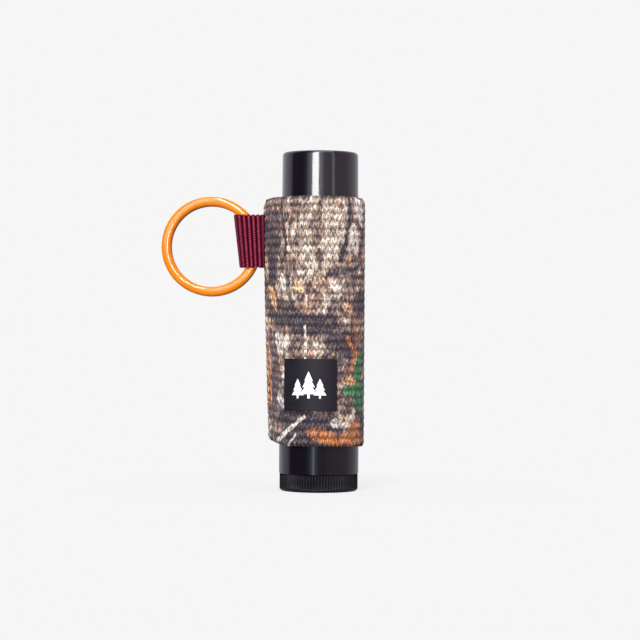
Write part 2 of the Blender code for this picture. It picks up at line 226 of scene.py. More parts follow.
def hashed(first, second, seed):
    """Repeatable value from 0 to 1 for each pair of whole numbers."""
    mixed = (first * 374761393 + second * 668265263 + seed * 974634777) & 0xFFFFFFFF
    mixed = ((mixed ^ (mixed >> 13)) * 1274126177) & 0xFFFFFFFF
    return ((mixed ^ (mixed >> 16)) & 0xFFFFFF) / 0xFFFFFF


def value_noise(x, y, seed):
    """Smooth noise from 0 to 1 with features about one unit across."""
    column = np.floor(x).astype(np.int64)
    row = np.floor(y).astype(np.int64)
    across = smooth(x - column, 0, 1)
    up = smooth(y - row, 0, 1)
    low = mix(hashed(column, row, seed), hashed(column + 1, row, seed), across)
    high = mix(hashed(column, row + 1, seed), hashed(column + 1, row + 1, seed), across)
    return mix(low, high, up)


def fractal(x, y, seed, octaves=4):
    """Noise with ever finer octaves, stretched to about 0 to 1."""
    total = sum(value_noise(x * 2**k, y * 2**k, seed + k) / 2**k for k in range(octaves))
    return np.clip(total / 1.2 - 0.28, 0, 1)


def drawn(random, *ranges):
    """Vector whose parts are drawn evenly, each from its (low, high) range."""
    return np.array([random.uniform(low, high) for low, high in ranges])


# ---- mesh helpers

def grid_faces(rows, columns, closed_rows=False):
    """Quads between the points of a grid that is stored row by row, its columns a closed ring."""
    row = np.arange(rows if closed_rows else rows - 1)[:, None]
    column = np.arange(columns)[None, :]
    next_row = (row + 1) % rows
    next_column = (column + 1) % columns
    corners = [
        row * columns + column,
        row * columns + next_column,
        next_row * columns + next_column,
        next_row * columns + column,
    ]
    return np.stack(corners, axis=-1).reshape(-1, 4).tolist()


def tube_faces(sections, around):
    """Quads of a tube of closed sections, and a flat face over each end."""
    faces = grid_faces(sections, around)
    faces.append(list(range(around)))
    faces.append(list(range((sections - 1) * around, sections * around)))
    return faces


def rounded(corners):
    """Profile through (radius, height, rounding) corners, with an arc at each rounding."""
    points = []
    for index, (x, y, rounding) in enumerate(corners):
        corner = np.array((x, y))
        if rounding == 0:
            points.append(corner)
            continue
        before = unit(np.array(corners[index - 1][:2]) - corner)
        after = unit(np.array(corners[(index + 1) % len(corners)][:2]) - corner)
        half = math.acos(np.clip(before @ after, -1, 1)) / 2
        middle = corner + unit(before + after) * rounding / math.sin(half)
        start = corner + before * rounding / math.tan(half) - middle
        end = corner + after * rounding / math.tan(half) - middle
        sweep = math.pi - 2 * half
        for share in np.linspace(0, 1, 6):
            arm = start * math.sin((1 - share) * sweep) + end * math.sin(share * sweep)
            points.append(middle + arm / math.sin(sweep))
    return np.array(points)


def turned(profile, segments, shape=None):
    """Points and faces of a turned solid. An open profile starts and ends on the axis.

    shape(radius, height, angle) may change the radius and the height at each point.
    """
    is_open = profile[0][0] == 0
    rings = profile[1:-1] if is_open else profile
    angle = TURN * np.arange(segments) / segments
    radius = rings[:, 0, None] + 0 * angle
    height = rings[:, 1, None] + 0 * angle
    if shape:
        radius, height = shape(radius, height, angle)
    points = np.stack([radius * np.cos(angle), radius * np.sin(angle), height], axis=-1)
    points = points.reshape(-1, 3)
    faces = grid_faces(len(rings), segments, closed_rows=not is_open)
    if is_open:
        pole = len(points)
        last_ring = pole - segments
        points = np.vstack([points, (0, 0, profile[0][1]), (0, 0, profile[-1][1])])
        for j in range(segments):
            after = (j + 1) % segments
            faces.append([pole, after, j])
            faces.append([pole + 1, last_ring + j, last_ring + after])
    return points, faces


def evenly(points, count):
    """The same path with count points at equal steps along it, and each one's distance."""
    steps = np.linalg.norm(np.diff(points, axis=0), axis=1)
    along = np.concatenate([[0], np.cumsum(steps)])
    wanted = np.linspace(0, along[-1], count)
    columns = [np.interp(wanted, along, points[:, k]) for k in range(points.shape[1])]
    return np.stack(columns, axis=-1), wanted


def arc(centre, radius, start, end, steps):
    """Points along an arc, its angles in degrees."""
    angle = np.radians(np.linspace(start, end, steps + 1))
    return np.stack([centre[0] + radius * np.cos(angle), centre[1] + radius * np.sin(angle)], -1)


def outward(points):
    """Unit normals on the right-hand side of a plan path."""
    ahead = np.gradient(points, axis=0)
    ahead /= np.linalg.norm(ahead, axis=1)[:, None]
    return np.stack([ahead[:, 1], -ahead[:, 0]], axis=-1)


def new_object(name, data):
    """Object of the data, linked into the scene."""
    made = bpy.data.objects.new(name, data)
    bpy.context.collection.objects.link(made)
    return made


def register(name, data, body, nodes):
    """Piece that rides on its body and stands for CAD nodes."""
    piece = new_object(name, data)
    if body:
        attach(piece, body)
    if nodes:
        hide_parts(*nodes)
    return piece


def add_mesh(data, mesh, material, body, nodes=()):
    """Piece of a mesh: outward normals, smooth shading with sharp edges kept, and the material."""
    bmesh.ops.recalc_face_normals(mesh, faces=mesh.faces)
    mesh.to_mesh(data)
    mesh.free()
    data.shade_smooth()
    data.set_sharp_from_angle(angle=SMOOTH_ANGLE)
    data.materials.append(material)
    return register(data.name, data, body, nodes)


def add_piece(name, solid, material, body, nodes=(), tint=None):
    """Piece of a solid's points in millimetres and faces, each point with a colour if given."""
    points, faces = solid
    data = bpy.data.meshes.new(name)
    data.from_pydata((points.reshape(-1, 3) * MM).tolist(), [], faces)
    if tint is not None:
        # Point colours, which carry the print with painted shade and painted highlights.
        layer = data.color_attributes.new("print", "FLOAT_COLOR", "POINT")
        tint = tint.reshape(-1, 3)
        alpha = np.ones((len(tint), 1))
        layer.data.foreach_set("color", np.hstack([tint, alpha]).astype(np.float32).ravel())
    mesh = bmesh.new()
    mesh.from_mesh(data)
    return add_mesh(data, mesh, material, body, nodes)


def add_strands(name, routes, radius, material, body, nodes=()):
    """Piece of thin round strands, one for each route of points in millimetres."""
    data = bpy.data.curves.new(name, "CURVE")
    data.dimensions = "3D"
    data.bevel_depth = radius * MM
    data.bevel_resolution = 1
    data.use_fill_caps = True
    for route in routes:
        spline = data.splines.new("POLY")
        spline.points.add(len(route) - 1)
        for point, place in zip(spline.points, route):
            point.co = (*(place * MM), 1)
    data.materials.append(material)
    return register(name, data, body, nodes)


# ---- material helpers

def add(tree, kind, inputs=None, **settings):
    """Shader node whose inputs, given by name or place, are constants or linked sockets."""
    made = tree.nodes.new("ShaderNode" + kind)
    for name, value in settings.items():
        setattr(made, name, value)
    for key, value in (inputs or {}).items():
        if isinstance(value, bpy.types.NodeSocket):
            tree.links.new(value, made.inputs[key])
        else:
            made.inputs[key].default_value = value
    return made


def ramp(tree, factor, stops):
    """Colour ramp through (position, colour) stops."""
    made = add(tree, "ValToRGB", {"Fac": factor})
    elements = made.color_ramp.elements
    while len(elements) < len(stops):
        elements.new(0.5)
    for element, (position, colour) in zip(elements, stops):
        element.position = position
        element.color = (*colour, 1)
    return made.outputs[0]


def blended(tree, factor, first, second, kind="MIX"):
    """Colours mixed by a factor. MULTIPLY with a factor of 1 gives their product."""
    inputs = {"Factor": factor, "A": first, "B": second}
    return add(tree, "Mix", inputs, data_type="RGBA", blend_type=kind).outputs["Result"]


def by_ray(tree, others, camera):
    """One shader for the camera's own rays and another for all others."""
    camera_ray = add(tree, "LightPath").outputs["Is Camera Ray"]
    return add(tree, "MixShader", {0: camera_ray, 1: others, 2: camera}).outputs[0]


def grey(value):
    return (value, value, value)


class Look:
    """Material being built on its Principled BSDF, with sizes and depths in millimetres."""

    def __init__(self, name, **constants):
        self.material = bpy.data.materials.new(name)
        self.material.use_nodes = True
        self.tree = self.material.node_tree
        self.surface = self.tree.nodes["Principled BSDF"].inputs
        for socket, value in constants.items():
            self.surface[socket.replace("_", " ")].default_value = value
        self.place = add(self.tree, "TexCoord").outputs["Object"]

    def scaled(self, scale):
        """Object coordinates times a scale for each axis."""
        return add(self.tree, "Mapping", {"Vector": self.place, "Scale": scale}).outputs[0]

    def noise(self, size, detail=3, stretch=(1, 1, 1)):
        """Noise with features of a size, drawn out where stretch is above 1."""
        place = self.scaled([1 / (size * MM * times) for times in stretch])
        inputs = {"Vector": place, "Scale": 1.0, "Detail": detail}
        return add(self.tree, "TexNoise", inputs).outputs[0]

    def threads(self, pitch):
        """Even ripples up Z. A wave texture of scale 1 repeats every TURN / 20 units."""
        inputs = {"Vector": self.scaled([1 / (pitch * MM)] * 3), "Scale": TURN / 20}
        return add(self.tree, "TexWave", inputs, bands_direction="Z").outputs[1]

    def colour(self, factor, dark, light, span=(0.3, 0.7), on_print_and_shade=False):
        """Colour from dark to light over a span of a noise, times the mesh's own colours, print
        and painted shade, when asked.
        """
        made = ramp(self.tree, factor, list(zip(span, (dark, light))))
        if on_print_and_shade:
            # The mesh's point colours hold the print with its painted shade and painted
            # highlights.
            painted = add(self.tree, "Attribute", attribute_name="print").outputs["Color"]
            made = blended(self.tree, 1.0, painted, made, "MULTIPLY")
        self.tree.links.new(made, self.surface["Base Color"])

    def roughness(self, factor, low, high):
        """Roughness from low to high as a noise runs from 0.3 to 0.7."""
        inputs = {0: factor, 1: 0.3, 2: 0.7, 3: low, 4: high}
        made = add(self.tree, "MapRange", inputs).outputs[0]
        self.tree.links.new(made, self.surface["Roughness"])

    def bumped(self, *layers):
        """The finished material, with (height, depth) bumps one on the other."""
        normal = None
        for height, depth in layers:
            inputs = {"Height": height, "Strength": 1.0, "Distance": depth * MM}
            if normal:
                inputs["Normal"] = normal
            normal = add(self.tree, "Bump", inputs).outputs[0]
        self.tree.links.new(normal, self.surface["Normal"])
        return self.material


def gloss_black():
    """Injection-moulded black plastic: glossy, faintly wavy, with hairline handling marks."""
    look = Look("gloss_black", Specular_IOR_Level=0.55)
    flow = look.noise(6, 2, (1, 1, 3))
    scratch = look.noise(0.12, 2, (1, 1, 26))
    look.colour(flow, (0.0032, 0.0026, 0.0044), (0.0048, 0.0037, 0.0058))
    look.roughness(scratch, 0.07, 0.16)
    return look.bumped((flow, 0.012), (scratch, 0.0006))


def matte_black():
    """Finely textured black plastic of the dial."""
    look = Look("matte_black", Specular_IOR_Level=0.13)
    grain = look.noise(0.12, 4)
    dust = look.noise(2.5, 4)
    look.colour(dust, (0.004, 0.003, 0.0052), (0.009, 0.0072, 0.0108), (0.35, 0.75))
    look.roughness(grain, 0.42, 0.58)
    return look.bumped((grain, 0.01))


def natural_plastic():
    """Undyed milky polypropylene of the elevator."""
    look = Look("natural_plastic", Subsurface_Weight=0.25, Subsurface_Scale=0.001, Roughness=0.4)
    look.colour(look.noise(2), (0.7, 0.7, 0.67), (0.82, 0.82, 0.79))
    return look.bumped((look.noise(0.2, 2), 0.006))


def wax():
    """Pale balm, cloudy inside and faintly smeared on top."""
    look = Look("wax", Subsurface_Weight=0.6, Subsurface_Scale=0.002)
    cloud = look.noise(1.6, 5)
    smear = look.noise(0.5, 3, (8, 1, 1))
    look.colour(cloud, (0.8, 0.7, 0.48), (0.92, 0.86, 0.68))
    look.roughness(smear, 0.3, 0.5)
    return look.bumped((smear, 0.05), (cloud, 0.03))


def printed_elastic():
    """Knitted elastic in its printed colours with painted shade in the row grooves, hairy yarn and
    a soft sheen.
    """
    sheen = {"Sheen_Weight": 0.12, "Sheen_Roughness": 0.5}
    look = Look("camo_elastic", Specular_IOR_Level=0.25, **sheen)
    hair = look.noise(0.26, 3, (1, 1, 1.5))
    lint = look.noise(0.35)
    look.colour(hair, grey(0.6), grey(1.3), (0.34, 0.62), on_print_and_shade=True)
    look.roughness(lint, 0.72, 0.92)
    return look.bumped((hair, 0.03), (lint, 0.02))


def burgundy_webbing():
    """Grosgrain webbing: warp yarns over heavy weft ribs, with painted shade down in the grooves
    and painted highlights on the yarns of the rib crests.
    """
    look = Look("burgundy_webbing", Specular_IOR_Level=0.06)
    hair = look.noise(0.07, 2, (3, 3, 1))
    look.colour(hair, grey(0.7), grey(1.2), on_print_and_shade=True)
    look.roughness(hair, 0.5, 0.7)
    return look.bumped((hair, 0.02))


def sewing_thread():
    """Undyed spun thread with a fine twist."""
    look = Look("thread", Sheen_Weight=0.2, Roughness=0.75)
    fibre = look.noise(0.06, 2, (1, 1, 2))
    look.colour(fibre, (0.46, 0.43, 0.39), (0.8, 0.77, 0.72))
    return look.bumped((fibre, 0.02))


def satin_black():
    """Black satin label: fine cross threads and a slight sheen."""
    sheen = {"Sheen_Weight": 0.015, "Sheen_Roughness": 0.35}
    look = Look("satin_black", Specular_IOR_Level=0.18, **sheen)
    slub = look.noise(0.5, 3, (6, 6, 1))
    look.colour(slub, (0.005, 0.0036, 0.007), (0.009, 0.0066, 0.011))
    look.roughness(slub, 0.5, 0.66)
    return look.bumped((look.threads(0.16), 0.008), (slub, 0.008))


def white_ink():
    """Opaque white print, a little thin where it lies over the threads."""
    look = Look("white_ink", Roughness=0.55)
    look.colour(look.noise(0.15), (0.62, 0.62, 0.61), (0.86, 0.86, 0.85), (0.25, 0.5))
    return look.bumped((look.threads(0.16), 0.006))


def orange_paint():
    """Glossy orange enamel on steel wire, with a soft orange-peel surface."""
    look = Look("orange_paint", Coat_Weight=0.05, Coat_Roughness=0.04, Specular_IOR_Level=0.12)
    peel = look.noise(0.45, 2)
    look.colour(look.noise(3, 2), (0.52, 0.134, 0.002), (0.58, 0.153, 0.0035))
    look.roughness(peel, 0.11, 0.15)
    return look.bumped((peel, 0.0002))


# ---- tube

def make_cap(material):
    """Pull-off cap: drafted side, rounded top edge, thin lip and a snap bead inside."""
    top = CAP_HIGH[2]
    low = CAP_LOW[2]
    ceiling = top - CAP_WALL_TOP
    snap = low + CAP_SNAP_HEIGHT
    profile = rounded([
        (0, top - 0.05, 0),
        (CAP_TOP_RADIUS - 2.2, top, 0.4),
        (CAP_TOP_RADIUS, top, CAP_EDGE),
        (CAP_RADIUS, low, 0.25),
        (CAP_BORE, low, 0.3),
        (CAP_BORE, snap - 0.4, 0.1),
        (CAP_BORE - 0.12, snap, 0.1),
        (CAP_BORE, snap + 0.4, 0.1),
        (CAP_BORE - 0.25, ceiling, 0.6),
        (0, ceiling, 0),
    ])
    add_piece("cap_shell", turned(profile, 160), material, "cap", ["cap"])


def barrel_shape(radius, height, angle):
    """Two anti-turn keys down the bore, and a hairline mould joint outside."""
    in_bore = (np.abs(radius - BORE_RADIUS) < 0.05) & (height > BARREL_FLOOR + 0.2)
    on_key = np.abs(np.sin(angle)) * BORE_RADIUS < KEY_HALF
    radius = radius - KEY_DEPTH * (in_bore & (height < KEY_TOP) & on_key)
    joint = np.cos(angle - MOULD_LINE_ANGLE) > math.cos(math.radians(0.8))
    outside = radius > BARREL_RADIUS - 0.02
    return radius + MOULD_LINE_HEIGHT * (joint & outside), height


def make_barrel(material):
    """Barrel with floor, bore and keys, shoulder, and a neck with a snap bead."""
    low = BARREL_LOW[2] - 0.18
    mouth = BARREL_HIGH[2]
    profile = rounded([
        (BARREL_RADIUS, low, 0.1),
        (BARREL_RADIUS, SHOULDER, 0.3),
        (NECK_RADIUS, SHOULDER, 0.25),
        (NECK_RADIUS, NECK_BEAD_Z - 0.35, 0.15),
        (NECK_RADIUS + NECK_BEAD, NECK_BEAD_Z, 0.15),
        (NECK_RADIUS, NECK_BEAD_Z + 0.35, 0.15),
        (NECK_RADIUS, mouth, 0.3),
        (BORE_RADIUS, mouth, 0.25),
        (BORE_RADIUS, KEY_TOP, 0),
        (BORE_RADIUS, KEY_TOP - 0.3, 0),
        (BORE_RADIUS, BARREL_FLOOR, 0.15),
        (HUB_HOLE, BARREL_FLOOR, 0.15),
        (HUB_HOLE, low, 0.15),
    ])
    solid = turned(profile, 256, barrel_shape)
    add_piece("barrel_shell", solid, material, "barrel", ["barrel"])


def dial_shape(radius, height, angle):
    """Fine upright ribs round the dial's side."""
    groove = 0.5 - 0.5 * np.cos(angle * DIAL_RIBS)
    side = smooth(radius, DIAL_RADIUS - 0.3, DIAL_RADIUS - 0.05)
    side = side * smooth(height, RIB_LOW, RIB_LOW + 0.25)
    return radius - RIB_DEPTH * side * groove**1.5, height


def make_dial(material):
    """Ribbed twist wheel under the barrel."""
    profile = rounded([
        (0, 0, 0),
        (DIAL_FOOT_RADIUS, 0, 0.15),
        (DIAL_RADIUS, 0.4, 0.15),
        (DIAL_RADIUS, RIB_LOW, 0),
        (DIAL_RADIUS, RIB_LOW + 0.25, 0),
        (DIAL_RADIUS, DIAL_HEIGHT / 2, 0),
        (DIAL_RADIUS, DIAL_HEIGHT, 0.06),
        (HUB_RADIUS, DIAL_HEIGHT, 0),
        (0, DIAL_HEIGHT - 0.1, 0),
    ])
    solid = turned(profile, DIAL_RIBS * COLUMNS_PER_RIB, dial_shape)
    add_piece("dial_wheel", solid, material, "dial", ["dial_and_screw"])


def spindle_shape(radius, height, angle):
    """Right-hand thread wound up the core of the screw."""
    turns = angle / TURN - (height - THREAD_START_Z) / THREAD_LEAD
    away = np.abs((turns + 0.5) % 1 - 0.5) * THREAD_LEAD
    flank = (THREAD_ROOT_HALF - away) / (THREAD_ROOT_HALF - THREAD_CREST_HALF)
    ends = smooth(height, THREAD_LOW, THREAD_LOW + 0.8)
    ends = ends * smooth(height, SCREW_TOP - 0.1, SCREW_TOP - 0.6)
    is_core = np.abs(radius - CORE_RADIUS) < 0.01
    return radius + is_core * ends * (THREAD_RADIUS - CORE_RADIUS) * np.clip(flank, 0, 1), height


def make_spindle(material):
    """Hub that snaps into the barrel's floor, and the long screw above it."""
    hub = rounded([
        (0, DIAL_HEIGHT - 1, 0),
        (HUB_RADIUS, DIAL_HEIGHT - 1, 0),
        (HUB_RADIUS, SNAP_LOW, 0.1),
        (SNAP_RADIUS, SNAP_LOW, 0.15),
        (SNAP_RADIUS - 0.6, SNAP_HIGH, 0.15),
        (CORE_RADIUS, SNAP_HIGH, 0),
    ])
    core = [(CORE_RADIUS, z) for z in np.arange(THREAD_LOW - 0.5, SCREW_TOP - 0.2, 0.25)]
    tip = [(CORE_RADIUS - 0.25, SCREW_TOP), (0, SCREW_TOP)]
    solid = turned(np.vstack([hub, core, tip]), 40, spindle_shape)
    add_piece("screw_spindle", solid, material, "dial", ["dial_and_screw"])


def balm_shape(radius, height, angle):
    """Two grooves that slide on the barrel's keys, and an unevenly worn top."""
    groove = np.abs(radius * np.sin(angle)) < NOTCH_HALF
    radius = np.where(groove & (radius > NOTCH_RADIUS), NOTCH_RADIUS, radius)
    top = smooth(height, BALM_HIGH[2] - 1.2, BALM_HIGH[2])
    x = radius * np.cos(angle)
    y = radius * np.sin(angle)
    worn = 0.35 * fractal(x * 0.25, y * 0.6, 5, 3) + 0.035 * (x + 6)
    return radius, height - top * worn


def make_balm(material):
    """Balm moulded round the elevator's hub, with a softly crowned top."""
    low = BALM_LOW[2]
    high = BALM_HIGH[2]
    shoulder = [(r, high - 0.04 * (r - BALM_BORE), 0) for r in np.arange(4.6, 3.1, -0.3)]
    profile = rounded([
        (BALM_RADIUS, low, 0.1),
        (BALM_RADIUS, high - 0.8, 0.7),
        (BALM_RADIUS - 1.0, high - 0.05, 0.5),
        *shoulder,
        (BALM_BORE, high, 0.1),
        (BALM_BORE, BALM_STEP, 0),
        (BALM_HUB, BALM_STEP, 0),
        (BALM_HUB, low, 0),
    ])
    solid = turned(profile, 144, balm_shape)
    add_piece("balm", solid, material, "elevator", ["balm_stick"])


# ---- camouflage print

SOOT = linear(50, 42, 55)
BARK = linear(104, 84, 80)
TAN = linear(162, 140, 122)
BEIGE = linear(207, 197, 182)
CHALK = linear(222, 215, 207)
RUST = linear(166, 92, 47)
ORANGE = linear(171, 104, 56)
PEACH = linear(238, 182, 134)
FERN = linear(36, 130, 70)
MOSS = linear(22, 62, 52)
WARM = np.array((1.12, 0.92, 0.80))
BACKING = linear(176, 170, 164)
BARK_TONES = [(0.06, SOOT), (0.30, BARK), (0.50, TAN), (0.72, BEIGE), (1.0, CHALK)]

# Broad light and dark masses: (along, height, half width, half height, change of tone)
MASSES = [
    (0.8, 52.6, 6, 8.2, 0.2),
    (-0.4, 54.5, 1, 4.6, -0.24),
    (-12.4, 53, 2.4, 6.4, -0.26),
    (-8.4, 55, 1.2, 5, 0.12),
    (-13.4, 58.6, 3, 1.6, 0.16),
    (7.2, 58, 2, 3.6, 0.08),
    (-12.6, 41.5, 1.4, 6, -0.34),
    (-8.6, 36.8, 4.4, 2.4, -0.36),
    (-1.6, 34.4, 5.8, 2.2, -0.38),
    (5.6, 30.6, 3.6, 2.6, -0.34),
    (10.6, 38.6, 3, 2.6, -0.3),
    (-8.2, 28.6, 1.8, 7, 0.14),
    (-10.6, 20, 2.6, 7, -0.16),
    (0.5, 42, 8, 2.8, 0.08),
    (0.6, 29, 4.2, 1.6, 0.1),
    (5.6, 20.5, 1.6, 4.6, 0.08),
    (6.8, 15.2, 3.2, 1.6, 0.2),
    (-4.2, 14.6, 5.2, 1.9, -0.4),
    (2.2, 14.4, 3.4, 1.5, -0.36),
    (-5.6, 11, 7, 2, -0.32),
    (1, 19, 8, 2, -0.1),
    (10.8, 14, 2.2, 5.4, -0.34),
    (19, 45, 5, 12, 0.28),
    (24, 22, 6, 7, -0.36),
    (33, 38, 4, 14, 0.3),
    (38, 18, 5, 8, -0.34),
    (29, 55, 6, 4, -0.36),
]

# Branches and twigs: (points along and up, half width, colour, edge colour)
BRANCHES = [
    ([(6.7, 61), (6.5, 55.5), (5.6, 51), (4.4, 47.4)], 0.46, SOOT, BARK),
    ([(1.6, 44.8), (4.6, 45), (7.6, 45.6), (10.4, 46.8)], 0.34, SOOT, SOOT),
    ([(-9.4, 61), (-8.8, 55), (-7.8, 51), (-8, 48)], 0.4, SOOT, BARK),
    ([(-10.8, 10), (-7, 12.6), (-3, 15.6)], 0.5, BEIGE, SOOT),
    ([(-7.6, 8.8), (-5, 11.8)], 0.34, BEIGE, SOOT),
    ([(-3, 34), (-2.7, 31), (-2.9, 27)], 0.2, BEIGE, BEIGE),
    ([(8.2, 35.6), (8.9, 31.8), (8.4, 28.6), (7.4, 25.4)], 0.42, ORANGE, RUST),
    ([(10.9, 36.2), (10.2, 32.4), (9.2, 30.4)], 0.34, ORANGE, SOOT),
    ([(6.2, 31.6), (7.8, 29.4), (10.6, 27.4)], 0.34, ORANGE, RUST),
    ([(-14.6, 30), (-13.9, 24), (-14.1, 18.5)], 0.5, RUST, PEACH),
    ([(-4.6, 60.5), (-4.9, 55), (-4.2, 51.4)], 0.16, BARK, TAN),
    ([(17, 60), (18.5, 48), (16.5, 37), (18, 24), (16.8, 10)], 0.6, SOOT, BARK),
    ([(18, 40), (23, 46), (28.5, 49)], 0.35, SOOT, BARK),
    ([(26, 61), (27.5, 50), (25.5, 38), (28, 26), (27, 9)], 0.8, BEIGE, SOOT),
    ([(27, 32), (33, 27), (38, 29)], 0.4, PEACH, BARK),
    ([(36, 60), (35, 50), (37.5, 39), (36.5, 30)], 0.5, SOOT, BARK),
]

# Leaves: (base along, base height, direction in degrees, length, half width, colour, edge)
LEAVES = [
    (-13.6, 42.6, -62, 6.6, 1.2, PEACH, RUST),
    (8.4, 60.6, -66, 7, 2, CHALK, RUST),
    (7.4, 55.2, -78, 7.4, 1.8, CHALK, RUST),
    (11.6, 51, -84, 5.4, 1.1, PEACH, RUST),
    (2, 43.4, -46, 4.4, 0.9, CHALK, TAN),
    (-9.4, 45, -70, 4.6, 1, CHALK, TAN),
    (-5.6, 43, -40, 3.8, 0.8, PEACH, TAN),
    (4.6, 38.4, -20, 3.6, 0.9, PEACH, BARK),
    (-0.2, 50.2, -86, 4.4, 0.8, BARK, SOOT),
    (10.6, 29, -104, 9, 1.5, FERN, MOSS),
    (4.6, 20.6, 12, 8, 1.4, FERN, MOSS),
    (7.4, 22.4, -64, 6.4, 1.3, FERN, MOSS),
    (11.6, 24, -96, 8.6, 1.5, FERN, MOSS),
    (4.6, 22.9, -4, 5, 0.8, PEACH, RUST),
    (-2.8, 12.8, -18, 8.2, 1.5, ORANGE, RUST),
    (2.4, 9.8, 14, 8.6, 1.5, ORANGE, RUST),
    (10.4, 15, -132, 7.4, 1.6, ORANGE, RUST),
    (6.4, 10.2, 8, 6.4, 1.3, ORANGE, RUST),
    (2, 14.8, -20, 4.6, 1, BEIGE, BARK),
    (-10.6, 33.4, -80, 5.2, 1, CHALK, BARK),
    (-10.2, 20.6, -60, 4.4, 1, CHALK, SOOT),
]


def tone_colour(tone):
    """Bark colour for a tone from 0, dark, to 1, light."""
    places = [position for position, _ in BARK_TONES]
    channels = [np.interp(tone, places, [colour[k] for _, colour in BARK_TONES]) for k in range(3)]
    return np.stack(channels, axis=-1)


def path_distance(along, height, points):
    """Distance from each place to a run of straight stretches."""
    nearest = np.full(along.shape, np.inf)
    for start, end in zip(points, points[1:]):
        run = np.subtract(end, start)
        share = ((along - start[0]) * run[0] + (height - start[1]) * run[1]) / (run @ run)
        share = np.clip(share, 0, 1)
        gap = np.hypot(along - start[0] - share * run[0], height - start[1] - share * run[1])
        nearest = np.minimum(nearest, gap)
    return nearest


def paint_branch(colours, along, height, branch):
    """Branch with a ragged outline, its edge in the second colour."""
    points, half, colour, edge = branch
    rough = half * (0.55 + 0.9 * fractal(along * 0.9, height * 0.9, 41, 3))
    gap = path_distance(along, height, points)
    colours = mix(colours, edge, 0.8 * smooth(gap, rough * 1.6, rough * 1.3))
    return mix(colours, colour, smooth(gap, rough, rough * 0.8))


def paint_leaf(colours, along, height, leaf):
    """Pointed leaf with a darker edge, a midrib and slanting veins."""
    base_along, base_height, direction, length, half, colour, edge = leaf
    heading = math.radians(direction)
    ahead = (along - base_along) * math.cos(heading) + (height - base_height) * math.sin(heading)
    aside = (height - base_height) * math.cos(heading) - (along - base_along) * math.sin(heading)
    share = np.clip(ahead / length, 0, 1)
    teeth = 1 + 0.16 * np.cos(ahead * 5.0) + 0.3 * (fractal(along, height, 43, 3) - 0.5)
    reach = half * np.sin(math.pi * share**0.8) * teeth
    off = np.abs(aside)
    cover = (ahead > 0) * (ahead < length) * smooth(off, reach + 0.1, reach - 0.1)
    veins = 0.5 + 0.5 * np.cos((ahead - 0.9 * off) * 6.0)
    dark = np.maximum(0.35 * veins, smooth(off, 0.2, 0.08))
    dark = np.maximum(dark, smooth(off, reach * 0.6, reach))
    return mix(colours, mix(colour * np.ones_like(colours), edge, 0.75 * dark), cover)


def scattered_leaves():
    """More leaves over the side and back of the sleeve."""
    random = np.random.default_rng(11)
    kinds = [(RUST, PEACH), (PEACH, RUST), (FERN, MOSS), (CHALK, BARK), (RUST, BARK)]
    leaves = []
    for index in range(26):
        form = drawn(random, (14, 43), (11, 58), (-150, -20), (4, 7), (0.7, 1.2))
        leaves.append((*form, *kinds[index % 5]))
    return leaves


def camouflage(along, height):
    """Generic bark, twig and leaf print: colour at each place on the unrolled sleeve."""
    wander = 3.0 * (fractal(along * 0.35, height * 0.35, 3) - 0.5)
    ragged = 0.7 * (fractal(along * 0.9, height * 0.6, 61, 4) - 0.5)
    streak = fractal(along * 1.8, height * 0.30, 13)
    blotch = fractal((along + wander) * 0.42, (height + wander) * 0.38, 23)
    speck = fractal(along * 1.5, height * 1.2, 33, 2)
    calm = smooth(np.hypot((along - 1.0) / 6.5, (height - 51.5) / 8.5), 1.15, 0.75)
    grain = 0.24 * (streak - 0.5) + 0.38 * (blotch - 0.5) + 0.30 * (speck - 0.5)
    tone = 0.42 + grain * (1 - 0.75 * calm)
    for centre, level, half_width, half_height, change in MASSES:
        aside = (along + 0.5 * wander - centre) / half_width
        reach = np.hypot(aside, (height - level) / half_height)
        tone = tone + change * smooth(reach + ragged, 1.15, 0.85)
    colours = tone_colour(np.clip(tone, 0, 1))
    blush = smooth(fractal(along * 0.7, height * 0.55, 53), 0.46, 0.62) * (1 - 0.7 * calm)
    colours = mix(colours, colours * WARM, blush)
    chips = fractal(along * 1.1, height * 0.8, 71, 3)
    colours = mix(colours, SOOT, (0.8 - 0.4 * calm) * smooth(chips, 0.60, 0.66))
    pale = 0.45 * (1 - calm) * smooth(chips, 0.22, 0.16) * smooth(tone, 0.25, 0.5)
    colours = mix(colours, CHALK, pale)
    for branch in BRANCHES:
        colours = paint_branch(colours, along, height, branch)
    for leaf in LEAVES + scattered_leaves():
        colours = paint_leaf(colours, along, height, leaf)
    return colours


# ---- sleeve

def teardrop(tip_x, tip_radius, radius, start, steps):
    """Plan outline from a small arc at the tip round a circle at the origin and back."""
    centre = (tip_x + tip_radius, 0)
    lean = math.degrees(math.acos((radius - tip_radius) / -centre[0]))
    return np.vstack([
        arc(centre, tip_radius, start, 180 + lean, steps),
        arc((0, 0), radius, -180 + lean, 180 - lean, 160),
        arc(centre, tip_radius, 180 - lean, 360 - start, steps),
    ])


def sleeve_outlines(count):
    """Plan points of the outside and the inside, from the seam round the front and back.

    The outside starts and ends in the seam's notch at the tip of the ridge.
    """
    tuck = np.array([(RIDGE_X + SEAM_NOTCH, -0.06), (RIDGE_X + 0.3, -0.12)])
    ridge = teardrop(RIDGE_X, RIDGE_RADIUS, SLEEVE_RADIUS, 190, 10)
    outside, along = evenly(np.vstack([tuck, ridge, tuck[::-1] * (1, -1)]), count)
    inside = teardrop(WEDGE_X, WEDGE_RADIUS, SLEEVE_BORE, 180, 6)
    return outside, evenly(inside, count)[0], along


def corner(x, wide):
    """Quarter round from 0, this far from the ridge's tip, to 1 at the tip."""
    share = np.clip((RIDGE_X + wide - x) / wide, 0, 0.99)
    return 1 - np.sqrt(1 - share**2)


def ridge_lean(x, height):
    """How far the ridge leans in towards the tube, more the lower it is."""
    share = (SLEEVE_HIGH[2] - height) / (SLEEVE_HIGH[2] - SLEEVE_LOW[2])
    return RIDGE_LEAN * np.clip(share, 0, 1) ** 1.4 * smooth(x, -8.0, RIDGE_X)


